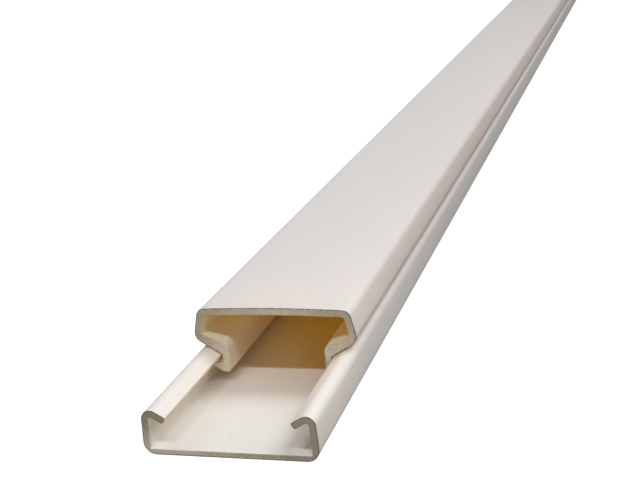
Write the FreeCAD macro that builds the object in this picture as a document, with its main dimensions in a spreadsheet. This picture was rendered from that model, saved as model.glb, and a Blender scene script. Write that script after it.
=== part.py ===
import FreeCAD, Part
import os
import Sketcher

# A two-piece cord cover raceway: a base channel, and a cover whose legs snap in under the base's lips.
# X runs across, Y along the length, Z up. The origin is the middle of the base channel's underside.
doc = FreeCAD.newDocument("raceway")

# Driving dimensions, in millimetres and degrees
sheet = doc.addObject("Spreadsheet::Sheet", "sizes")
driving = [
    ("base_length", "1000"),
    ("base_width", "33"),  # at the underside, with the lower corners taken sharp
    ("base_lean", "2"),  # angle each wall leans inward going up
    ("base_wall", "1.3"),
    ("base_floor", "1.1"),
    ("lip_reach", "4.9"),  # how far each lip tip stands in from the outside of the base
    ("lip_height", "7.15"),  # height of the lip's upper face at its tip
    ("lip_slope", "31"),  # angle at which each lip falls toward the middle
    ("lip_thick", "1.3"),
    ("heel_round", "2.4"),
    ("crest_round", "1.8"),
    ("tip_round", "0.35"),
    ("lip_root_round", "0.5"),
    ("floor_round", "0.3"),
    ("snap_clearance", "0.2"),  # gap between a lip and the cover around it
    ("cover_length", "1000"),
    ("cover_setback", "29"),  # how far the cover stands back from the base's front end
    ("cover_height", "17.2"),  # height of the cover's top above the base's underside
    ("cover_crown", "0.35"),  # rise of the top face over its shoulders
    ("skirt_overhang", "0.43"),  # how far the cover's lower corners, taken sharp, stand out past the base
    ("side_lean", "12"),  # angle each cover side leans inward going up
    ("cover_wall", "1.45"),
    ("cover_roof", "1.5"),
    ("shoulder_round", "1.8"),
    ("belly_round", "2.2"),
    ("roof_round", "0.7"),
    ("pocket_round", "0.5"),
    ("flange_side_thick", "1.92"),  # upright thickness of the flange where it meets the side
    ("flange_leg_thick", "2.24"),  # height of the bend over the corner that takes the lip tip
    ("bend_round", "1.8"),
    ("leg_root_round", "0.3"),
    ("leg_thick", "1.4"),
    ("leg_foot_height", "3.5"),
    ("toe_reach", "2"),  # how far the toe stands out under the lip
    ("toe_play", "0.4"),  # free height between the toe and the lip
    ("toe_tip_thick", "1.1"),
    ("toe_round", "0.3"),
]
for row, (alias, value) in enumerate(driving, start=1):
    sheet.set(f"A{row}", value)
    sheet.setAlias(f"A{row}", alias)
doc.recompute()

# Places of the base section's corners: how far out from the middle, and how high
base_half = "sizes.base_width / 2"
mouth_half = "(sizes.base_width / 2 - sizes.lip_reach)"
lean_run = "tan(sizes.base_lean)"
lip_run = "tan(sizes.lip_slope)"
both_runs = f"(1 + {lean_run} * {lip_run})"
inner_half = f"{base_half} - sizes.base_wall / cos(sizes.base_lean)"
lip_under = "(sizes.lip_height - sizes.lip_thick / cos(sizes.lip_slope))"
crest_height = f"(sizes.lip_height + ({base_half} - {mouth_half}) * {lip_run}) / {both_runs}"
crest_half = f"{base_half} - {lean_run} * {crest_height}"
tip_low_half = f"{mouth_half} + sizes.lip_thick * sin(sizes.lip_slope)"
tip_low_height = "sizes.lip_height - sizes.lip_thick * cos(sizes.lip_slope)"
root_height = f"({lip_under} + ({inner_half} - {mouth_half}) * {lip_run}) / {both_runs}"
root_half = f"{inner_half} - {lean_run} * {root_height}"
floor_half = f"{inner_half} - {lean_run} * sizes.base_floor"

# Places of the cover section's corners, measured from the same lip and the same underside
clearance_rise = "sizes.snap_clearance / cos(sizes.lip_slope)"
side_run = "tan(sizes.side_lean)"
skirt_half = "(sizes.base_width / 2 + sizes.skirt_overhang)"
skirt_height = f"(sizes.lip_height + ({skirt_half} - {mouth_half}) * {lip_run} + {clearance_rise})"
shoulder_height = "(sizes.cover_height - sizes.cover_crown)"
shoulder_half = f"({skirt_half} - ({shoulder_height} - {skirt_height}) * {side_run})"
side_inner_half = f"{skirt_half} - sizes.cover_wall / cos(sizes.side_lean)"
pocket_height = (
    f"({skirt_height} + sizes.flange_side_thick - (sizes.cover_wall / cos(sizes.side_lean)"
    f" - {skirt_height} * {side_run}) * {lip_run}) / (1 + {lip_run} * {side_run})"
)
pocket_half = f"{side_inner_half} - ({pocket_height} - {skirt_height}) * {side_run}"
roof_half = f"{side_inner_half} - ({shoulder_height} - sizes.cover_roof - {skirt_height}) * {side_run}"
leg_half = f"{mouth_half} - sizes.snap_clearance"
leg_inner_half = f"{leg_half} - sizes.leg_thick"
leg_root_height = f"sizes.lip_height + {clearance_rise} - sizes.snap_clearance * {lip_run}"
bend_height = f"{leg_root_height} + sizes.flange_leg_thick"
toe_half = f"{leg_half} + sizes.toe_reach"
toe_high = f"{tip_low_height} - sizes.toe_play"
toe_low = f"{toe_high} - sizes.toe_tip_thick"
crown_radius = f"({shoulder_half} ^ 2 + sizes.cover_crown ^ 2) / (2 * sizes.cover_crown)"
roof_radius = f"{crown_radius} - sizes.cover_roof"

# The sketcher's own numbers for the points of a curve, and for its origin and its level axis
point_code = {"start": 1, "end": 2, "centre": 3}
reference = {"origin": (-1, point_code["start"]), "level_axis": -1}
match = 0.001


def worth(expression):
    """The number that an expression has now."""
    return float(sheet.evalExpression(expression))


def begin_section(name):
    """A body with an empty sketch on its own upright cross plane."""
    body = doc.addObject("PartDesign::Body", name)
    body.Label = name
    sketch = body.newObject("Sketcher::SketchObject", f"{name}_section")
    plane = [feature for feature in body.Origin.OriginFeatures if feature.Role == "XZ_Plane"][0]
    sketch.AttachmentSupport = (plane, [""])
    sketch.MapMode = "FlatFace"
    return body, sketch


def bind(sketch, name, expression, kind, *places):
    """One measured constraint, tied to its expression."""
    index = sketch.addConstraint(Sketcher.Constraint(kind, *places, worth(expression)))
    sketch.renameConstraint(index, name)
    sketch.setExpression(f"Constraints.{name}", expression)


def corner_place(side, corner, arcs):
    """Where a corner starts out. One without a height stands on its arc."""
    name, half, height = corner
    across = worth(half)
    if height is None:
        radius, top = [worth(expression) for expression in arcs[name]]
        up = top - radius + (radius ** 2 - across ** 2) ** 0.5
    else:
        up = worth(height)
    return FreeCAD.Vector(across if side == "right" else -across, up, 0)


def draw_section(sketch, corners, arcs):
    """Draw the closed outline, the same on both sides. A corner named in arcs meets its twin by an arc."""
    loop = [("right", corner) for corner in corners] + [("left", corner) for corner in reversed(corners)]
    places = [corner_place(side, corner, arcs) for side, corner in loop]
    arc_indices = {}
    for index, (side, corner) in enumerate(loop):
        following = (index + 1) % len(loop)
        name = corner[0]
        if name in arcs and loop[following][1][0] == name:
            top = FreeCAD.Vector(0, worth(arcs[name][1]), 0)
            right, left = [corner_place(hand, corner, arcs) for hand in ("right", "left")]
            sketch.addGeometry(Part.Arc(right, top, left), False)
            arc_indices[name] = index
        else:
            sketch.addGeometry(Part.LineSegment(places[index], places[following]), False)

    def end_at(index, place):
        near_start = sketch.Geometry[index].StartPoint.distanceToPoint(place) < match
        return index, point_code["start" if near_start else "end"]

    origin = reference["origin"]
    for index, (side, (name, half, height)) in enumerate(loop):
        corner_end = end_at(index, places[index])
        other_end = end_at((index - 1) % len(loop), places[index])
        sketch.addConstraint(Sketcher.Constraint("Coincident", *other_end, *corner_end))
        span = (origin, corner_end) if side == "right" else (corner_end, origin)
        bind(sketch, f"{side}_{name}_half", half, "DistanceX", *span[0], *span[1])
        if height == "0":
            sketch.addConstraint(Sketcher.Constraint("PointOnObject", *corner_end, reference["level_axis"]))
        elif height is not None:
            bind(sketch, f"{side}_{name}_height", height, "DistanceY", *origin, *corner_end)
    for name, index in arc_indices.items():
        bind(sketch, f"{name}_radius", arcs[name][0], "Radius", index)
    if len(arc_indices) > 1:
        centres = [(index, point_code["centre"]) for index in arc_indices.values()]
        sketch.addConstraint(Sketcher.Constraint("Coincident", *centres[0], *centres[1]))


def extrude(body, sketch, length):
    """Draw the section out along the length, half of it each way."""
    pad = body.newObject("PartDesign::Pad", f"{body.Name}_length")
    pad.Profile = sketch
    pad.SideType = "Symmetric"
    pad.setExpression("Length", length)
    doc.recompute()


def round_corners(body, name, corners, wanted, radius):
    """Round the lengthwise edges at the wanted corners, on both sides."""
    before = body.Tip
    edges = []
    for corner in corners:
        if corner[0] not in wanted:
            continue
        right = corner_place("right", corner, cover_arcs)
        for number, edge in enumerate(before.Shape.Edges, start=1):
            middle = edge.CenterOfMass
            if abs(abs(middle.x) - right.x) < match and abs(middle.z - right.y) < match:
                edges.append(f"Edge{number}")
    fillet = body.newObject("PartDesign::Fillet", f"{body.Name}_{name}")
    fillet.Base = (before, edges)
    fillet.setExpression("Radius", radius)
    doc.recompute()


# The base channel: flat floor, two low walls, and a lip on each that slopes down and inward
base_corners = [
    ("heel", base_half, "0"),
    ("crest", crest_half, crest_height),
    ("tip_high", mouth_half, "sizes.lip_height"),
    ("tip_low", tip_low_half, tip_low_height),
    ("root", root_half, root_height),
    ("floor", floor_half, "sizes.base_floor"),
]

# The cover: crowned top, leaning sides, and below them a flange that follows the lip, a leg and an outward toe
cover_corners = [
    ("shoulder", shoulder_half, shoulder_height),
    ("skirt", skirt_half, skirt_height),
    ("leg_root", leg_half, leg_root_height),
    ("toe_root", leg_half, toe_high),
    ("toe_high", toe_half, toe_high),
    ("toe_low", toe_half, toe_low),
    ("foot_outer", leg_half, "sizes.leg_foot_height"),
    ("foot_inner", leg_inner_half, "sizes.leg_foot_height"),
    ("bend", leg_inner_half, bend_height),
    ("pocket", pocket_half, pocket_height),
    ("roof", roof_half, None),
]
cover_arcs = {
    "shoulder": (crown_radius, "sizes.cover_height"),
    "roof": (roof_radius, "sizes.cover_height - sizes.cover_roof"),
}

base, base_section = begin_section("base_channel")
draw_section(base_section, base_corners, {})
extrude(base, base_section, "sizes.base_length")
round_corners(base, "heels", base_corners, ["heel"], "sizes.heel_round")
round_corners(base, "crests", base_corners, ["crest"], "sizes.crest_round")
round_corners(base, "tips", base_corners, ["tip_high", "tip_low"], "sizes.tip_round")
round_corners(base, "lip_roots", base_corners, ["root"], "sizes.lip_root_round")
round_corners(base, "floor_corners", base_corners, ["floor"], "sizes.floor_round")

cover, cover_section = begin_section("snap_cover")
draw_section(cover_section, cover_corners, cover_arcs)
extrude(cover, cover_section, "sizes.cover_length")
round_corners(cover, "shoulders", cover_corners, ["shoulder"], "sizes.shoulder_round")
round_corners(cover, "bellies", cover_corners, ["skirt"], "sizes.belly_round")
round_corners(cover, "roof_corners", cover_corners, ["roof"], "sizes.roof_round")
round_corners(cover, "pockets", cover_corners, ["pocket"], "sizes.pocket_round")
round_corners(cover, "bends", cover_corners, ["bend"], "sizes.bend_round")
round_corners(cover, "leg_roots", cover_corners, ["leg_root"], "sizes.leg_root_round")
round_corners(cover, "toes", cover_corners, ["toe_high", "toe_low", "foot_inner"], "sizes.toe_round")
cover.setExpression("Placement.Base.y", "sizes.cover_setback")
doc.recompute()

# Check every object before anything is written
for item in doc.Objects:
    if "Invalid" in item.State or "Error" in item.State:
        raise RuntimeError(f"{item.Label} did not build: {item.State}")
for body in (base, cover):
    if body.Shape.isNull() or not body.Shape.isValid() or len(body.Shape.Solids) != 1:
        raise RuntimeError(f"{body.Label} is not one sound solid")

os.makedirs("parts", exist_ok=True)
for body in (base, cover):
    body.Shape.exportStep(f"parts/{body.Label}.step")
    print(body.Label, "volume in cubic millimetres", round(body.Shape.Volume, 1))
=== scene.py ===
import bmesh
import bpy
import math
from mathutils import Euler, Matrix, Vector


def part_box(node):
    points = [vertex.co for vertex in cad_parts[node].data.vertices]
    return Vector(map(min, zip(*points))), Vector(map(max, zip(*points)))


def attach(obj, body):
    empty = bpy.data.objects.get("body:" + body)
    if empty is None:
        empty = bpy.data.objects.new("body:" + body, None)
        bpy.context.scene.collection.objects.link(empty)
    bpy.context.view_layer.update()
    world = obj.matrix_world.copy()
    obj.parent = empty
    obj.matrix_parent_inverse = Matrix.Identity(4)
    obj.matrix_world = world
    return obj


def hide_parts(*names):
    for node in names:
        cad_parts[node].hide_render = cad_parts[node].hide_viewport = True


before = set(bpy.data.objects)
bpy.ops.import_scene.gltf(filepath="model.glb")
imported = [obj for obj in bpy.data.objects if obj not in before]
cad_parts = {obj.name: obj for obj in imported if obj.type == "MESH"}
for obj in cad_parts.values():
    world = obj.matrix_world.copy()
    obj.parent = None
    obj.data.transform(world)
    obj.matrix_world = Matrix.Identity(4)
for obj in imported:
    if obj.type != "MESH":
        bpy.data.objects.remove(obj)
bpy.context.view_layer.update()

mm = 0.001
scene = bpy.context.scene
print("frame loaded:", ", ".join(sorted(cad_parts)))

# camera at the photo's viewing angle, placed from the base's front end
cameraSetup = {
    "right of middle": 72.6 * mm,
    "before front end": 172.8 * mm,
    "above floor": 94.3 * mm,
    "azimuth": 16.93,
    "elevation": 16.70,
    "roll": 5.30,
    "lens": 65.84,
    "frame width": 36,
    "clip": (0.01, 30),
}
baseLow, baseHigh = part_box("base_channel")
coverLow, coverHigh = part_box("snap_cover")


def addCamera(setup):
    data = bpy.data.cameras.new("photoCamera")
    data.lens = setup["lens"]
    data.sensor_width = setup["frame width"]
    data.clip_start, data.clip_end = setup["clip"]
    camera = bpy.data.objects.new("photoCamera", data)
    scene.collection.objects.link(camera)
    place = Vector((setup["right of middle"], baseLow.y - setup["before front end"], setup["above floor"]))
    look = Euler((math.radians(90 - setup["elevation"]), 0, math.radians(setup["azimuth"])))
    roll = Matrix.Rotation(-math.radians(setup["roll"]), 4, "Z")
    camera.matrix_world = Matrix.Translation(place) @ look.to_matrix().to_4x4() @ roll
    scene.camera = camera


addCamera(cameraSetup)
print("camera set")


# small helpers for node trees
def link(tree, source, target):
    tree.links.new(source, target)


def addNode(tree, kind, place, values=None, **settings):
    node = tree.nodes.new(kind)
    node.location = place
    for name, value in settings.items():
        setattr(node, name, value)
    for name, value in (values or {}).items():
        node.inputs[name].default_value = value
    return node


def newGroup(name, inputs, outputs):
    tree = bpy.data.node_groups.new(name, "ShaderNodeTree")
    for socketName, kind, value in inputs:
        socket = tree.interface.new_socket(socketName, in_out="INPUT", socket_type=kind)
        if value is not None:
            socket.default_value = value
    for socketName, kind in outputs:
        tree.interface.new_socket(socketName, in_out="OUTPUT", socket_type=kind)
    start = addNode(tree, "NodeGroupInput", (-900, 0))
    end = addNode(tree, "NodeGroupOutput", (700, 0))
    return tree, start, end


# die lines: fine streaks along the length that the extrusion die leaves
def buildDieLines():
    tree, start, end = newGroup(
        "dieLines",
        [
            ("Coordinate", "NodeSocketVector", None),
            ("Streaks", "NodeSocketFloat", 900.0),
            ("Stretch", "NodeSocketFloat", 0.004),
        ],
        [("Tone", "NodeSocketFloat"), ("Height", "NodeSocketFloat")],
    )
    squeeze = addNode(tree, "ShaderNodeCombineXYZ", (-700, -160), {"X": 1.0, "Z": 1.0})
    link(tree, start.outputs["Stretch"], squeeze.inputs["Y"])
    along = addNode(tree, "ShaderNodeVectorMath", (-500, 0), operation="MULTIPLY")
    link(tree, start.outputs["Coordinate"], along.inputs[0])
    link(tree, squeeze.outputs[0], along.inputs[1])
    fine = addNode(tree, "ShaderNodeTexNoise", (-300, 120), {"Detail": 3.0, "Roughness": 0.6})
    link(tree, along.outputs[0], fine.inputs["Vector"])
    link(tree, start.outputs["Streaks"], fine.inputs["Scale"])
    fewer = addNode(tree, "ShaderNodeMath", (-500, -260), {1: 0.22}, operation="MULTIPLY")
    link(tree, start.outputs["Streaks"], fewer.inputs[0])
    broad = addNode(tree, "ShaderNodeTexNoise", (-300, -160), {"Detail": 2.0, "Roughness": 0.5})
    link(tree, along.outputs[0], broad.inputs["Vector"])
    link(tree, fewer.outputs[0], broad.inputs["Scale"])
    both = addNode(tree, "ShaderNodeMath", (-60, 0), operation="ADD")
    link(tree, fine.outputs["Fac"], both.inputs[0])
    link(tree, broad.outputs["Fac"], both.inputs[1])
    tone = addNode(tree, "ShaderNodeMapRange", (160, 80), {"From Min": 0.75, "From Max": 1.25})
    link(tree, both.outputs[0], tone.inputs["Value"])
    link(tree, tone.outputs["Result"], end.inputs["Tone"])
    link(tree, both.outputs[0], end.inputs["Height"])
    return tree


# handling marks: soft cloudy tone, a faint mottle in the skin and a few small rubbed spots
def buildHandlingMarks():
    tree, start, end = newGroup(
        "handlingMarks",
        [
            ("Coordinate", "NodeSocketVector", None),
            ("Cloud Size", "NodeSocketFloat", 28.0),
            ("Mottle Size", "NodeSocketFloat", 330.0),
            ("Spot Size", "NodeSocketFloat", 260.0),
        ],
        [("Cloud", "NodeSocketFloat"), ("Mottle", "NodeSocketFloat"), ("Spots", "NodeSocketFloat")],
    )
    cloud = addNode(tree, "ShaderNodeTexNoise", (-500, 160), {"Detail": 4.0, "Roughness": 0.55})
    link(tree, start.outputs["Coordinate"], cloud.inputs["Vector"])
    link(tree, start.outputs["Cloud Size"], cloud.inputs["Scale"])
    cloudRange = addNode(tree, "ShaderNodeMapRange", (-200, 160), {"From Min": 0.35, "From Max": 0.65})
    link(tree, cloud.outputs["Fac"], cloudRange.inputs["Value"])
    mottleSettings = {"Detail": 2.0, "Roughness": 0.5, "Distortion": 0.4}
    mottle = addNode(tree, "ShaderNodeTexNoise", (-500, 0), mottleSettings)
    link(tree, start.outputs["Coordinate"], mottle.inputs["Vector"])
    link(tree, start.outputs["Mottle Size"], mottle.inputs["Scale"])
    spots = addNode(tree, "ShaderNodeTexNoise", (-500, -160), {"Detail": 5.0, "Roughness": 0.65})
    link(tree, start.outputs["Coordinate"], spots.inputs["Vector"])
    link(tree, start.outputs["Spot Size"], spots.inputs["Scale"])
    spotRange = addNode(tree, "ShaderNodeMapRange", (-200, -160), {"From Min": 0.62, "From Max": 0.74})
    link(tree, spots.outputs["Fac"], spotRange.inputs["Value"])
    link(tree, cloudRange.outputs["Result"], end.inputs["Cloud"])
    link(tree, mottle.outputs["Fac"], end.inputs["Mottle"])
    link(tree, spotRange.outputs["Result"], end.inputs["Spots"])
    return tree


# sawn ends: a mottled darker tone on the cut, heavier toward one side, and a broken dark outline
def buildSawnEnd():
    tree, start, end = newGroup(
        "sawnEnd",
        [
            ("Coordinate", "NodeSocketVector", None),
            ("Darker Toward", "NodeSocketVector", (30.0, 0.0, 0.0)),
            ("Darker Sides", "NodeSocketFloat", 0.0),
            ("Darkening Level", "NodeSocketFloat", 0.5),
            ("Marks", "NodeSocketFloat", 1400.0),
            ("Specks", "NodeSocketFloat", 2200.0),
            ("Patches", "NodeSocketFloat", 160.0),
        ],
        [("Rim", "NodeSocketFloat"), ("Darkening", "NodeSocketFloat"), ("Height", "NodeSocketFloat")],
    )
    sawStroke = {"Rotation": (0, math.radians(24), 0), "Scale": (0.12, 0.0, 1.0)}
    turned = addNode(tree, "ShaderNodeMapping", (-700, 300), sawStroke)
    link(tree, start.outputs["Coordinate"], turned.inputs["Vector"])
    marks = addNode(tree, "ShaderNodeTexNoise", (-480, 300), {"Detail": 3.0, "Roughness": 0.6})
    link(tree, turned.outputs[0], marks.inputs["Vector"])
    link(tree, start.outputs["Marks"], marks.inputs["Scale"])
    specks = addNode(tree, "ShaderNodeTexNoise", (-480, 40), {"Detail": 3.0, "Roughness": 0.7})
    link(tree, start.outputs["Coordinate"], specks.inputs["Vector"])
    link(tree, start.outputs["Specks"], specks.inputs["Scale"])
    speckRange = addNode(tree, "ShaderNodeMapRange", (-260, 40), {"From Min": 0.38, "From Max": 0.66})
    link(tree, specks.outputs["Fac"], speckRange.inputs["Value"])
    patches = addNode(tree, "ShaderNodeTexNoise", (-480, -220), {"Detail": 2.0, "Roughness": 0.5})
    link(tree, start.outputs["Coordinate"], patches.inputs["Vector"])
    link(tree, start.outputs["Patches"], patches.inputs["Scale"])
    patchLimits = {"From Min": 0.35, "From Max": 0.65, "To Min": -0.2, "To Max": 0.2}
    patchRange = addNode(tree, "ShaderNodeMapRange", (-260, -220), patchLimits)
    link(tree, patches.outputs["Fac"], patchRange.inputs["Value"])
    # the darker tone rises toward a set side and height, and toward both sides, as each finish sets
    toward = addNode(tree, "ShaderNodeVectorMath", (-480, -480), operation="DOT_PRODUCT")
    link(tree, start.outputs["Coordinate"], toward.inputs[0])
    link(tree, start.outputs["Darker Toward"], toward.inputs[1])
    parts = addNode(tree, "ShaderNodeSeparateXYZ", (-700, -700))
    link(tree, start.outputs["Coordinate"], parts.inputs[0])
    outward = addNode(tree, "ShaderNodeMath", (-480, -700), operation="ABSOLUTE")
    link(tree, parts.outputs["X"], outward.inputs[0])
    corners = addNode(tree, "ShaderNodeMath", (-260, -700), operation="MULTIPLY_ADD")
    link(tree, outward.outputs[0], corners.inputs[0])
    link(tree, start.outputs["Darker Sides"], corners.inputs[1])
    link(tree, start.outputs["Darkening Level"], corners.inputs[2])
    level = addNode(tree, "ShaderNodeMath", (-260, -480), operation="ADD")
    link(tree, toward.outputs["Value"], level.inputs[0])
    link(tree, corners.outputs[0], level.inputs[1])
    uneven = addNode(tree, "ShaderNodeMath", (-60, -300), operation="ADD")
    link(tree, level.outputs[0], uneven.inputs[0])
    link(tree, patchRange.outputs["Result"], uneven.inputs[1])
    fine = addNode(tree, "ShaderNodeMapRange", (-60, -60), {"To Min": -0.3, "To Max": 0.3})
    link(tree, speckRange.outputs["Result"], fine.inputs["Value"])
    darker = addNode(tree, "ShaderNodeMath", (140, -200), operation="ADD", use_clamp=True)
    link(tree, uneven.outputs[0], darker.inputs[0])
    link(tree, fine.outputs["Result"], darker.inputs[1])
    # a broken dark outline drawn along the outer edges of the cut
    darkRim = addNode(
        tree, "ShaderNodeAttribute", (-260, 560), attribute_type="GEOMETRY", attribute_name="rimDarkness")
    rimWide = addNode(tree, "ShaderNodeMapRange", (-60, 500), {"From Min": 0.05, "From Max": 0.6})
    link(tree, darkRim.outputs["Fac"], rimWide.inputs["Value"])
    rimBroken = addNode(tree, "ShaderNodeMapRange", (-60, 240), {"To Min": 0.35, "To Max": 1.2})
    link(tree, speckRange.outputs["Result"], rimBroken.inputs["Value"])
    rim = addNode(tree, "ShaderNodeMath", (240, 340), operation="MULTIPLY", use_clamp=True)
    link(tree, rimWide.outputs["Result"], rim.inputs[0])
    link(tree, rimBroken.outputs["Result"], rim.inputs[1])
    link(tree, rim.outputs[0], end.inputs["Rim"])
    link(tree, darker.outputs[0], end.inputs["Darkening"])
    link(tree, marks.outputs["Fac"], end.inputs["Height"])
    return tree


dieLines = buildDieLines()
handlingMarks = buildHandlingMarks()
sawnEnd = buildSawnEnd()
print("shader groups built")

vinylSkin = {  # what both pieces share
    "gloss index": 1.53,
    "streak share": 0.5,
    "cloud share": 0.6,
    "mottle share": 0.5,
    "rubbed share": 0.35,
    # share of the painted amber light on the cover's inner faces
    "inner painted light share": 0.8,
    "scuff": 0.12,
    "line depth": 0.02 * mm,
    "line strength": 0.25,
    "mottle depth": 0.03 * mm,
    "mottle strength": 0.4,
}
sawnSkin = {
    "roughness": (0.65, 0.9),  # bare and darkened
    "mark depth": 0.06 * mm,
    "mark strength": 0.5,
}
baseFinish = {
    "name": "baseVinyl",
    "plain": (0.985, 0.935, 0.873, 1),
    "streak": (0.91, 0.85, 0.782, 1),
    "cloud": (0.945, 0.885, 0.818, 1),
    "mottled": (0.865, 0.815, 0.755, 1),
    "rubbed": (0.80, 0.745, 0.68, 1),
    "through": (1.0, 0.78, 0.16, 1),  # the colour light takes on inside the wall
    "through share": 0.28,
    "roughness": 0.50,
}
baseCut = {
    "name": "baseSawnEnd",
    "bare": (0.89, 0.735, 0.545, 1),
    # a darker tone mixed over the cut, heavier toward the right and the top
    "darker": (0.485, 0.38, 0.262, 1),
    "rim": (0.07, 0.055, 0.036, 1),
    "darker toward": (43.0, 0.0, 250.0),
    "darker sides": 0.0,
    "darkening level": 0.33,
}
coverFinish = {
    "name": "coverVinyl",
    "plain": (0.975, 1.0, 1.0, 1),
    "streak": (0.905, 0.95, 0.945, 1),
    "cloud": (0.94, 1.0, 1.0, 1),
    "mottled": (0.86, 0.90, 0.90, 1),
    "rubbed": (0.83, 0.85, 0.82, 1),
    "inner painted light": (0.945, 0.91, 0.67, 1),  # painted light: the amber of light that has come through a wall, painted on the inner faces
    "through": (1.0, 0.67, 0.10, 1),
    "through share": 0.42,
    "roughness": 0.52,
}
coverCut = {
    "name": "coverSawnEnd",
    "bare": (0.74, 0.615, 0.445, 1),
    # a darker tone mixed over the cut, heavier toward the top and the sides
    "darker": (0.50, 0.39, 0.25, 1),
    "rim": (0.07, 0.055, 0.036, 1),
    "darker toward": (0.0, 0.0, 51.0),
    "darker sides": 37.5,
    "darkening level": -0.65,
}


def mixColours(tree, place, factor, first, second, amount=1.0):
    # factor is a socket; first is a socket or a colour, second is a colour
    mix = addNode(tree, "ShaderNodeMix", place, data_type="RGBA")
    if amount < 1.0:
        above = (place[0] - 180, place[1] + 120)
        lessen = addNode(tree, "ShaderNodeMath", above, {1: amount}, operation="MULTIPLY")
        link(tree, factor, lessen.inputs[0])
        factor = lessen.outputs[0]
    link(tree, factor, mix.inputs[0])
    if isinstance(first, tuple):
        mix.inputs[6].default_value = first
    else:
        link(tree, first, mix.inputs[6])
    mix.inputs[7].default_value = second
    return mix.outputs[2]


def makeVinyl(finish, skin):
    material = bpy.data.materials.new(finish["name"])
    material.use_nodes = True
    tree = material.node_tree
    tree.nodes.clear()
    out = addNode(tree, "ShaderNodeOutputMaterial", (1400, 0))
    surface = addNode(tree, "ShaderNodeBsdfPrincipled", (1000, 0))
    surface.inputs["IOR"].default_value = skin["gloss index"]
    # the thin walls let some light through, and it comes out amber
    through = addNode(tree, "ShaderNodeBsdfTranslucent", (1000, -700), {"Color": finish["through"]})
    wall = addNode(tree, "ShaderNodeMixShader", (1200, 0), {0: finish["through share"]})
    link(tree, surface.outputs[0], wall.inputs[1])
    link(tree, through.outputs[0], wall.inputs[2])
    link(tree, wall.outputs[0], out.inputs["Surface"])
    spot = addNode(tree, "ShaderNodeTexCoord", (-900, 0))
    placed = addNode(tree, "ShaderNodeMapping", (-700, 0))
    link(tree, spot.outputs["Object"], placed.inputs["Vector"])
    groups = {}
    for number, (key, group) in enumerate((("lines", dieLines), ("marks", handlingMarks))):
        node = addNode(tree, "ShaderNodeGroup", (-450, 260 - 260 * number), node_tree=group)
        link(tree, placed.outputs[0], node.inputs["Coordinate"])
        groups[key] = node
    lines, marks = groups["lines"].outputs, groups["marks"].outputs
    colour = finish["plain"]
    colour = mixColours(tree, (0, 300), lines["Tone"], colour, finish["streak"], skin["streak share"])
    colour = mixColours(tree, (180, 300), marks["Cloud"], colour, finish["cloud"], skin["cloud share"])
    colour = mixColours(tree, (360, 300), marks["Mottle"], colour, finish["mottled"], skin["mottle share"])
    colour = mixColours(tree, (540, 300), marks["Spots"], colour, finish["rubbed"], skin["rubbed share"])
    if "inner painted light" in finish:
        # the mask attribute is high on outer faces and low on inner ones; the inner faces get painted
        # light, the amber that light takes on in a wall
        # painted light: amber mixed into the colour of the inner faces only
        exposed = addNode(
            tree, "ShaderNodeAttribute", (180, 560), attribute_type="GEOMETRY", attribute_name="rimDarkness")
        inner = addNode(tree, "ShaderNodeMapRange", (360, 560), {"From Min": 0.35, "From Max": 0.15})
        link(tree, exposed.outputs["Fac"], inner.inputs["Value"])
        paintedAmber, share = finish["inner painted light"], skin["inner painted light share"]
        colour = mixColours(tree, (720, 300), inner.outputs["Result"], colour, paintedAmber, share)
    link(tree, colour, surface.inputs["Base Color"])
    gloss = {1: skin["scuff"], 2: finish["roughness"]}
    scuffed = addNode(tree, "ShaderNodeMath", (720, 0), gloss, operation="MULTIPLY_ADD")
    link(tree, marks["Cloud"], scuffed.inputs[0])
    link(tree, scuffed.outputs[0], surface.inputs["Roughness"])
    lineDepth = {"Strength": skin["line strength"], "Distance": skin["line depth"]}
    lineBump = addNode(tree, "ShaderNodeBump", (540, -260), lineDepth)
    link(tree, lines["Height"], lineBump.inputs["Height"])
    mottleDepth = {"Strength": skin["mottle strength"], "Distance": skin["mottle depth"]}
    mottleBump = addNode(tree, "ShaderNodeBump", (740, -260), mottleDepth)
    link(tree, marks["Mottle"], mottleBump.inputs["Height"])
    link(tree, lineBump.outputs[0], mottleBump.inputs["Normal"])
    link(tree, mottleBump.outputs[0], surface.inputs["Normal"])
    return material


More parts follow.
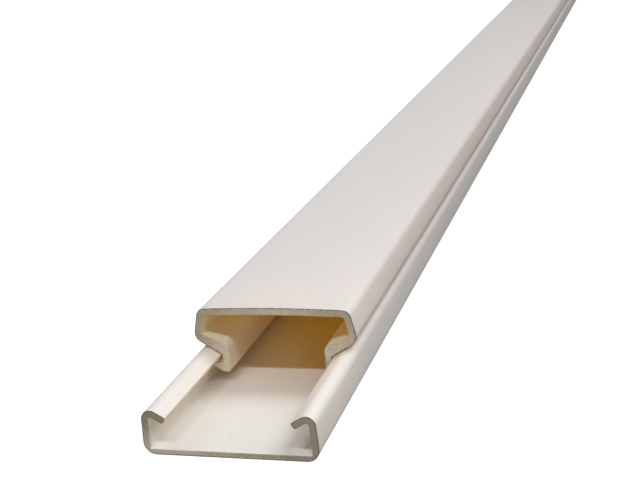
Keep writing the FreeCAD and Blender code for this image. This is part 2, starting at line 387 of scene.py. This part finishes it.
def makeSawnEnd(finish, skin):
    material = bpy.data.materials.new(finish["name"])
    material.use_nodes = True
    tree = material.node_tree
    tree.nodes.clear()
    out = addNode(tree, "ShaderNodeOutputMaterial", (900, 0))
    surface = addNode(tree, "ShaderNodeBsdfPrincipled", (600, 0), {"IOR": vinylSkin["gloss index"]})
    link(tree, surface.outputs[0], out.inputs["Surface"])
    spot = addNode(tree, "ShaderNodeTexCoord", (-700, 0))
    placed = addNode(tree, "ShaderNodeMapping", (-500, 0))
    link(tree, spot.outputs["Object"], placed.inputs["Vector"])
    sawn = addNode(tree, "ShaderNodeGroup", (-260, 0), node_tree=sawnEnd)
    sawn.inputs["Darker Toward"].default_value = finish["darker toward"]
    sawn.inputs["Darker Sides"].default_value = finish["darker sides"]
    sawn.inputs["Darkening Level"].default_value = finish["darkening level"]
    link(tree, placed.outputs[0], sawn.inputs["Coordinate"])
    # the cut's colour goes from bare to darker along the darkening mask
    colour = mixColours(tree, (0, 200), sawn.outputs["Darkening"], finish["bare"], finish["darker"])
    colour = mixColours(tree, (240, 200), sawn.outputs["Rim"], colour, finish["rim"])
    link(tree, colour, surface.inputs["Base Color"])
    bareRough, darkerRough = skin["roughness"]
    rough = addNode(tree, "ShaderNodeMapRange", (240, -60), {"To Min": bareRough, "To Max": darkerRough})
    link(tree, sawn.outputs["Darkening"], rough.inputs["Value"])
    link(tree, rough.outputs["Result"], surface.inputs["Roughness"])
    markDepth = {"Strength": skin["mark strength"], "Distance": skin["mark depth"]}
    marks = addNode(tree, "ShaderNodeBump", (240, -320), markDepth)
    link(tree, sawn.outputs["Height"], marks.inputs["Height"])
    link(tree, marks.outputs[0], surface.inputs["Normal"])
    return material


baseVinyl = makeVinyl(baseFinish, vinylSkin)
baseSawnEnd = makeSawnEnd(baseCut, sawnSkin)
coverVinyl = makeVinyl(coverFinish, vinylSkin)
coverSawnEnd = makeSawnEnd(coverCut, sawnSkin)
print("materials made")


# one tree draws any closed section out along the length
def buildExtrusionTree():
    tree = bpy.data.node_groups.new("extrusion", "GeometryNodeTree")
    for name, kind, value in (
        ("Section", "NodeSocketGeometry", None),
        ("Front", "NodeSocketFloat", 0.0),
        ("Length", "NodeSocketFloat", 1.0),
        ("Round Steps", "NodeSocketInt", 8),
        ("Stations", "NodeSocketInt", 41),
        ("Finish", "NodeSocketMaterial", None),
    ):
        socket = tree.interface.new_socket(name, in_out="INPUT", socket_type=kind)
        if value is not None:
            socket.default_value = value
    tree.interface.new_socket("Extrusion", in_out="OUTPUT", socket_type="NodeSocketGeometry")
    start = addNode(tree, "NodeGroupInput", (-1100, 0))
    end = addNode(tree, "NodeGroupOutput", (1200, 0))
    outline = addNode(tree, "GeometryNodeMeshToCurve", (-900, 200))
    link(tree, start.outputs["Section"], outline.inputs[0])
    radius = addNode(
        tree, "GeometryNodeInputNamedAttribute", (-900, -60), {"Name": "cornerRound"}, data_type="FLOAT")
    rounded = addNode(tree, "GeometryNodeFilletCurve", (-650, 200), mode="POLY")
    link(tree, outline.outputs[0], rounded.inputs["Curve"])
    link(tree, radius.outputs[0], rounded.inputs["Radius"])
    link(tree, start.outputs["Round Steps"], rounded.inputs["Count"])
    rounded.inputs["Limit Radius"].default_value = True
    # the path stands below the section, far end lowest, and is laid over along +Y afterwards
    frontDown = addNode(tree, "ShaderNodeMath", (-900, -260), {1: -1.0}, operation="MULTIPLY")
    link(tree, start.outputs["Front"], frontDown.inputs[0])
    farDown = addNode(tree, "ShaderNodeMath", (-700, -260), operation="SUBTRACT")
    link(tree, frontDown.outputs[0], farDown.inputs[0])
    link(tree, start.outputs["Length"], farDown.inputs[1])
    ends = []
    for number, source in enumerate((frontDown, farDown)):
        point = addNode(tree, "ShaderNodeCombineXYZ", (-480, -180 - 140 * number))
        link(tree, source.outputs[0], point.inputs["Z"])
        ends.append(point)
    path = addNode(tree, "GeometryNodeCurvePrimitiveLine", (-260, -200))
    link(tree, ends[0].outputs[0], path.inputs["End"])
    link(tree, ends[1].outputs[0], path.inputs["Start"])
    stepped = addNode(tree, "GeometryNodeResampleCurve", (-60, -200))
    link(tree, path.outputs[0], stepped.inputs["Curve"])
    link(tree, start.outputs["Stations"], stepped.inputs["Count"])
    swept = addNode(tree, "GeometryNodeCurveToMesh", (180, 100), {"Fill Caps": True})
    link(tree, stepped.outputs[0], swept.inputs["Curve"])
    link(tree, rounded.outputs[0], swept.inputs["Profile Curve"])
    laid = addNode(tree, "GeometryNodeTransform", (420, 100), {"Rotation": Euler((math.radians(90), 0, 0))})
    link(tree, swept.outputs[0], laid.inputs["Geometry"])
    whole = addNode(tree, "GeometryNodeRealizeInstances", (700, 100))
    link(tree, laid.outputs[0], whole.inputs[0])
    painted = addNode(tree, "GeometryNodeSetMaterial", (940, 100))
    link(tree, whole.outputs[0], painted.inputs["Geometry"])
    link(tree, start.outputs["Finish"], painted.inputs["Material"])
    link(tree, painted.outputs[0], end.inputs[0])
    return tree


extrusionTree = buildExtrusionTree()


def drawSection(name, halfCorners):
    # the right half's corners, mirrored into a closed loop
    # each holds its rounding and how dark its rim is drawn when cut
    corners = halfCorners + [(-corner[0], *corner[1:]) for corner in reversed(halfCorners) if corner[0] > 0]
    mesh = bpy.data.meshes.new(name)
    loop = [(i, (i + 1) % len(corners)) for i in range(len(corners))]
    mesh.from_pydata([(corner[0], corner[1], 0) for corner in corners], loop, [])
    for place, attribute in ((2, "cornerRound"), (3, "rimDarkness")):
        values = mesh.attributes.new(attribute, "FLOAT", "POINT")
        for number, corner in enumerate(corners):
            values.data[number].value = corner[place]
    piece = bpy.data.objects.new(name, mesh)
    scene.collection.objects.link(piece)
    return piece


def extrudeSection(piece, settings):
    modifier = piece.modifiers.new("extrusion", "NODES")
    modifier.node_group = extrusionTree
    for item in extrusionTree.interface.items_tree:
        if item.in_out == "INPUT" and item.name in settings:
            modifier[item.identifier] = settings[item.name]
    graph = bpy.context.evaluated_depsgraph_get()
    drawn = piece.evaluated_get(graph)
    shaped = bpy.data.meshes.new_from_object(drawn, preserve_all_data_layers=True, depsgraph=graph)
    piece.modifiers.clear()
    piece.data = shaped


cutting = {
    "merge": 0.001 * mm,
    "end tolerance": 0.01 * mm,
    "cap corners": 20,  # a face with more is the cap of a cut end
    "sharp over": math.radians(28),
}


def finishCuts(mesh, ends, sizes, cutFinish):
    # take the sharp edge off both cut ends, set a rim into each for its dark outline, give them the sawn
    # finish
    shape = bmesh.new()
    shape.from_mesh(mesh)
    bmesh.ops.remove_doubles(shape, verts=shape.verts, dist=cutting["merge"])
    bmesh.ops.recalc_face_normals(shape, faces=shape.faces)

    def liesAt(edge, y):
        return all(abs(vert.co.y - y) < cutting["end tolerance"] for vert in edge.verts)

    edges = [edge for edge in shape.edges if any(liesAt(edge, y) for y in ends)]
    eased = bmesh.ops.bevel(
        shape, geom=edges, offset=sizes["cut ease"], segments=2, profile=0.5, affect="EDGES")
    caps = [face for face in shape.faces if len(face.verts) > cutting["cap corners"]]
    for face in eased["faces"]:
        face.material_index = 1
    # the ring around each cap carries the dark outline, the cap inside it none
    darkRim = shape.verts.layers.float["rimDarkness"]
    for cap in caps:
        ring = bmesh.ops.inset_region(
            shape, faces=[cap], thickness=sizes["cut rim"], use_even_offset=True)
        for face in ring["faces"] + [cap]:
            face.material_index = 1
        for vert in cap.verts:
            vert[darkRim] = 0
    shape.to_mesh(mesh)
    shape.free()
    mesh.materials.append(cutFinish)
    mesh.attributes.remove(mesh.attributes["cornerRound"])
    mesh.shade_smooth()
    mesh.set_sharp_from_angle(angle=cutting["sharp over"])


lipSizes = {  # the joint between the two pieces
    "base width": 33.0 * mm,
    "reach": 4.9 * mm,
    "height": 7.15 * mm,
    "slope": math.radians(31),
    "clearance": 0.2 * mm,
}
baseSizes = {
    "lean": math.radians(2),
    "wall": 1.3 * mm,
    "floor": 1.1 * mm,
    "lip": 1.3 * mm,
    "heel round": 2.4 * mm,
    "crest round": 1.8 * mm,
    "tip round": 0.35 * mm,
    "root round": 0.5 * mm,
    "floor round": 0.3 * mm,
    "cut ease": 0.06 * mm,
    "cut rim": 0.2 * mm,
    "round steps": 10,
    "stations": 41,
}


def baseSection(s, lip):
    half = lip["base width"] / 2
    mouth = half - lip["reach"]
    lean, slope = math.tan(s["lean"]), math.tan(lip["slope"])
    inner = half - s["wall"] / math.cos(s["lean"])
    under = lip["height"] - s["lip"] / math.cos(lip["slope"])
    crestZ = (lip["height"] + (half - mouth) * slope) / (1 + lean * slope)
    rootZ = (under + (inner - mouth) * slope) / (1 + lean * slope)
    tipX = mouth + s["lip"] * math.sin(lip["slope"])
    tipZ = lip["height"] - s["lip"] * math.cos(lip["slope"])
    return [
        (half, 0, s["heel round"], 1.0),
        (half - lean * crestZ, crestZ, s["crest round"], 0.8),
        (mouth, lip["height"], s["tip round"], 0.5),
        (tipX, tipZ, s["tip round"], 0.35),
        (inner - lean * rootZ, rootZ, s["root round"], 0.1),
        (inner - lean * s["floor"], s["floor"], s["floor round"], 0.0),
    ]


baseShell = drawSection("base_shell", baseSection(baseSizes, lipSizes))
extrudeSection(baseShell, {
    "Front": baseLow.y,
    "Length": baseHigh.y - baseLow.y,
    "Round Steps": baseSizes["round steps"],
    "Stations": baseSizes["stations"],
    "Finish": baseVinyl,
})
finishCuts(baseShell.data, (baseLow.y, baseHigh.y), baseSizes, baseSawnEnd)
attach(baseShell, "base")
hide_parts("base_channel")
print("base shell:", len(baseShell.data.polygons), "faces")

coverSizes = {
    "height": 17.2 * mm,
    "crown": 0.35 * mm,
    "crown steps": 6,
    "overhang": 0.43 * mm,
    "side lean": math.radians(12),
    "wall": 1.45 * mm,
    "roof": 1.5 * mm,
    "shoulder round": 1.8 * mm,
    "belly round": 2.2 * mm,
    "roof round": 0.7 * mm,
    "pocket round": 0.5 * mm,
    "flange at side": 1.92 * mm,
    "flange at leg": 2.24 * mm,
    "bend round": 1.8 * mm,
    "leg root round": 0.3 * mm,
    "leg": 1.4 * mm,
    "foot": 3.5 * mm,
    "toe reach": 2.0 * mm,
    "toe play": 0.4 * mm,
    "toe tip": 1.1 * mm,
    "toe round": 0.3 * mm,
    "cut ease": 0.06 * mm,
    "cut rim": 0.2 * mm,
    "round steps": 10,
    "stations": 41,
}


def coverSection(s, lip, baseLip):
    half = lip["base width"] / 2
    mouth = half - lip["reach"]
    slope, side = math.tan(lip["slope"]), math.tan(s["side lean"])
    rise = lip["clearance"] / math.cos(lip["slope"])
    skirt = half + s["overhang"]
    skirtZ = lip["height"] + (skirt - mouth) * slope + rise
    shoulderZ = s["height"] - s["crown"]
    shoulder = skirt - (shoulderZ - skirtZ) * side
    across = s["wall"] / math.cos(s["side lean"])
    pocketZ = (skirtZ + s["flange at side"] - (across - skirtZ * side) * slope) / (1 + slope * side)
    pocket = skirt - across - (pocketZ - skirtZ) * side
    roofX = skirt - across - (shoulderZ - s["roof"] - skirtZ) * side
    leg = mouth - lip["clearance"]
    legRootZ = lip["height"] + rise - lip["clearance"] * slope
    toeZ = lip["height"] - baseLip * math.cos(lip["slope"]) - s["toe play"]
    toeX = leg + s["toe reach"]

    def crownAt(x, drop):
        return s["height"] - drop - s["crown"] * (x / shoulder) ** 2

    steps = s["crown steps"]
    top = [(shoulder * i / steps, crownAt(shoulder * i / steps, 0), 0, 0.8) for i in range(steps)]
    ceiling = [(roofX * i / steps, crownAt(roofX * i / steps, s["roof"]), 0, 0.15) for i in range(steps)]
    return top + [
        (shoulder, shoulderZ, s["shoulder round"], 0.8),
        (skirt, skirtZ, s["belly round"], 1.0),
        (leg, legRootZ, s["leg root round"], 0.8),
        (leg, toeZ, 0, 0.6),
        (toeX, toeZ, s["toe round"], 0.5),
        (toeX, toeZ - s["toe tip"], s["toe round"], 0.4),
        (leg, s["foot"], 0, 0.3),
        (leg - s["leg"], s["foot"], s["toe round"], 0.1),
        (leg - s["leg"], legRootZ + s["flange at leg"], s["bend round"], 0.0),
        (pocket, pocketZ, s["pocket round"], 0.0),
        (roofX, crownAt(roofX, s["roof"]), s["roof round"], 0.15),
    ] + ceiling[::-1]


coverShell = drawSection("cover_shell", coverSection(coverSizes, lipSizes, baseSizes["lip"]))
extrudeSection(coverShell, {
    "Front": coverLow.y,
    "Length": coverHigh.y - coverLow.y,
    "Round Steps": coverSizes["round steps"],
    "Stations": coverSizes["stations"],
    "Finish": coverVinyl,
})
finishCuts(coverShell.data, (coverLow.y, coverHigh.y), coverSizes, coverSawnEnd)
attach(coverShell, "cover")
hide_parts("snap_cover")
print("cover shell:", len(coverShell.data.polygons), "faces")

# floor and light; lamp places and aims are measured from the base's front end
studio = {
    "floor size": 8.0,
    "floor grey": 0.12,
    "floor glow": (0.86, 1.0),  # as the camera sees it, near the front end and far from it
    "glow reach": (0.4, 1.6),
    "floor shade": 0.35,  # what the camera sees of light and shadow on the floor
    "white in gloss": 0.45,
    "dome": 0.05,
    "dome colour": (1, 1.075, 1.165, 1),
    "lamp colour": (1, 1.075, 1.165),
    "aims": {"near": (0, 0.02, 0), "far": (0, 1.30, 0)},
    "lamps": {
        "topStrip": {"power": 2.65, "size": (0.3, 0.04), "place": (-0.05, -0.44, 0.90)},
        "rightStrip": {"power": 1.65, "size": (0.3, 0.04), "place": (0.35, -0.44, 0.85)},
        "rightPanel": {"power": 4.35, "size": (0.4, 0.35), "place": (0.45, 0.36, 0.75)},
        "leftPanel": {"power": 1.15, "size": (0.4, 0.35), "place": (-0.55, 0.20, 0.65)},
        "farPanel": {"power": 0.3, "size": (0.4, 0.35), "place": (0.15, 1.40, 0.55)},
        "farLeftStrip": {"power": 1.3, "size": (0.15, 0.9), "place": (-0.40, 1.30, 0.45), "aim": "far"},
        "farRightStrip": {"power": 1.3, "size": (0.15, 0.9), "place": (0.40, 1.30, 0.45), "aim": "far"},
        "behindPanel": {"power": 1.2, "size": (0.4, 0.35), "place": (-0.25, 2.60, 0.50), "aim": "far"},
        "nearRight": {"power": 0.045, "size": (0.06, 0.06), "place": (0.13, 0.0, 0.12)},
        "nearFront": {"power": 0.047, "size": (0.05, 0.04), "place": (0.10, -0.12, 0.06)},
    },
}


def backgroundRay(tree, place):
    # 1 for what the camera sees and less for what the plastic mirrors
    # 0 for rays that a wall let through, which would light the plastic from inside
    path = addNode(tree, "ShaderNodeLightPath", place)
    below = (place[0] + 200, place[1] - 160)
    gloss = addNode(tree, "ShaderNodeMath", below, {1: studio["white in gloss"]}, operation="MULTIPLY")
    link(tree, path.outputs["Is Glossy Ray"], gloss.inputs[0])
    either = addNode(tree, "ShaderNodeMath", (place[0] + 400, place[1]), operation="MAXIMUM")
    link(tree, path.outputs["Is Camera Ray"], either.inputs[0])
    link(tree, gloss.outputs[0], either.inputs[1])
    return either.outputs[0]


def addFloor(s):
    half = s["floor size"] / 2
    mesh = bpy.data.meshes.new("studio_floor")
    corners = [(-half, -half, 0), (half, -half, 0), (half, half, 0), (-half, half, 0)]
    mesh.from_pydata(corners, [], [(0, 1, 2, 3)])
    floor = bpy.data.objects.new("studio_floor", mesh)
    scene.collection.objects.link(floor)
    material = bpy.data.materials.new("paleFloor")
    material.use_nodes = True
    tree = material.node_tree
    tree.nodes.clear()
    out = addNode(tree, "ShaderNodeOutputMaterial", (800, 0))
    spot = addNode(tree, "ShaderNodeTexCoord", (-700, 200))
    away = addNode(tree, "ShaderNodeVectorMath", (-500, 200), {1: (0, baseLow.y, 0)}, operation="DISTANCE")
    link(tree, spot.outputs["Object"], away.inputs[0])
    glow = addNode(tree, "ShaderNodeMapRange", (-300, 200))
    limits = zip(("From Min", "From Max", "To Min", "To Max"), s["glow reach"] + s["floor glow"])
    for socketName, value in limits:
        glow.inputs[socketName].default_value = value
    link(tree, away.outputs["Value"], glow.inputs["Value"])
    seen = addNode(tree, "ShaderNodeEmission", (0, 100))
    link(tree, glow.outputs["Result"], seen.inputs["Strength"])
    shade = addNode(tree, "ShaderNodeBsdfDiffuse", (0, -50), {"Color": (s["floor shade"],) * 3 + (1,)})
    together = addNode(tree, "ShaderNodeAddShader", (250, 50))
    link(tree, seen.outputs[0], together.inputs[0])
    link(tree, shade.outputs[0], together.inputs[1])
    lit = addNode(tree, "ShaderNodeBsdfDiffuse", (250, -150), {"Color": (s["floor grey"],) * 3 + (1,)})
    choose = addNode(tree, "ShaderNodeMixShader", (550, 0))
    link(tree, backgroundRay(tree, (-200, 400)), choose.inputs[0])
    link(tree, lit.outputs[0], choose.inputs[1])
    link(tree, together.outputs[0], choose.inputs[2])
    link(tree, choose.outputs[0], out.inputs["Surface"])
    mesh.materials.append(material)


def addWorld(s):
    world = bpy.data.worlds.new("studio")
    world.use_nodes = True
    tree = world.node_tree
    tree.nodes.clear()
    out = addNode(tree, "ShaderNodeOutputWorld", (600, 0))
    domeLight = {"Color": s["dome colour"], "Strength": s["dome"]}
    dome = addNode(tree, "ShaderNodeBackground", (100, -100), domeLight)
    white = addNode(tree, "ShaderNodeBackground", (100, 100), {"Color": (1, 1, 1, 1), "Strength": 1.0})
    choose = addNode(tree, "ShaderNodeMixShader", (350, 0))
    link(tree, backgroundRay(tree, (-500, 300)), choose.inputs[0])
    link(tree, dome.outputs[0], choose.inputs[1])
    link(tree, white.outputs[0], choose.inputs[2])
    link(tree, choose.outputs[0], out.inputs["Surface"])
    scene.world = world


def addPanel(name, power, size, place, aim="near"):
    # an area lamp that the camera doesn't see, turned to its aim with its first side level
    data = bpy.data.lights.new(name, "AREA")
    data.energy = power
    data.color = studio["lamp colour"]
    data.shape = "RECTANGLE"
    data.size, data.size_y = size
    lamp = bpy.data.objects.new(name, data)
    lamp.visible_camera = False
    scene.collection.objects.link(lamp)
    front = Vector((0, baseLow.y, 0))
    lamp.location = front + Vector(place)
    across = Vector((1, 0, 0))
    back = (Vector(place) - Vector(studio["aims"][aim])).normalized()
    side = (across - across.dot(back) * back).normalized()
    turn = Matrix((side, back.cross(side), back)).transposed().to_4x4()
    lamp.matrix_world = Matrix.Translation(lamp.location) @ turn


addFloor(studio)
addWorld(studio)
for name, lamp in studio["lamps"].items():
    addPanel(name, **lamp)
scene.view_settings.view_transform = "Standard"
print("studio set")
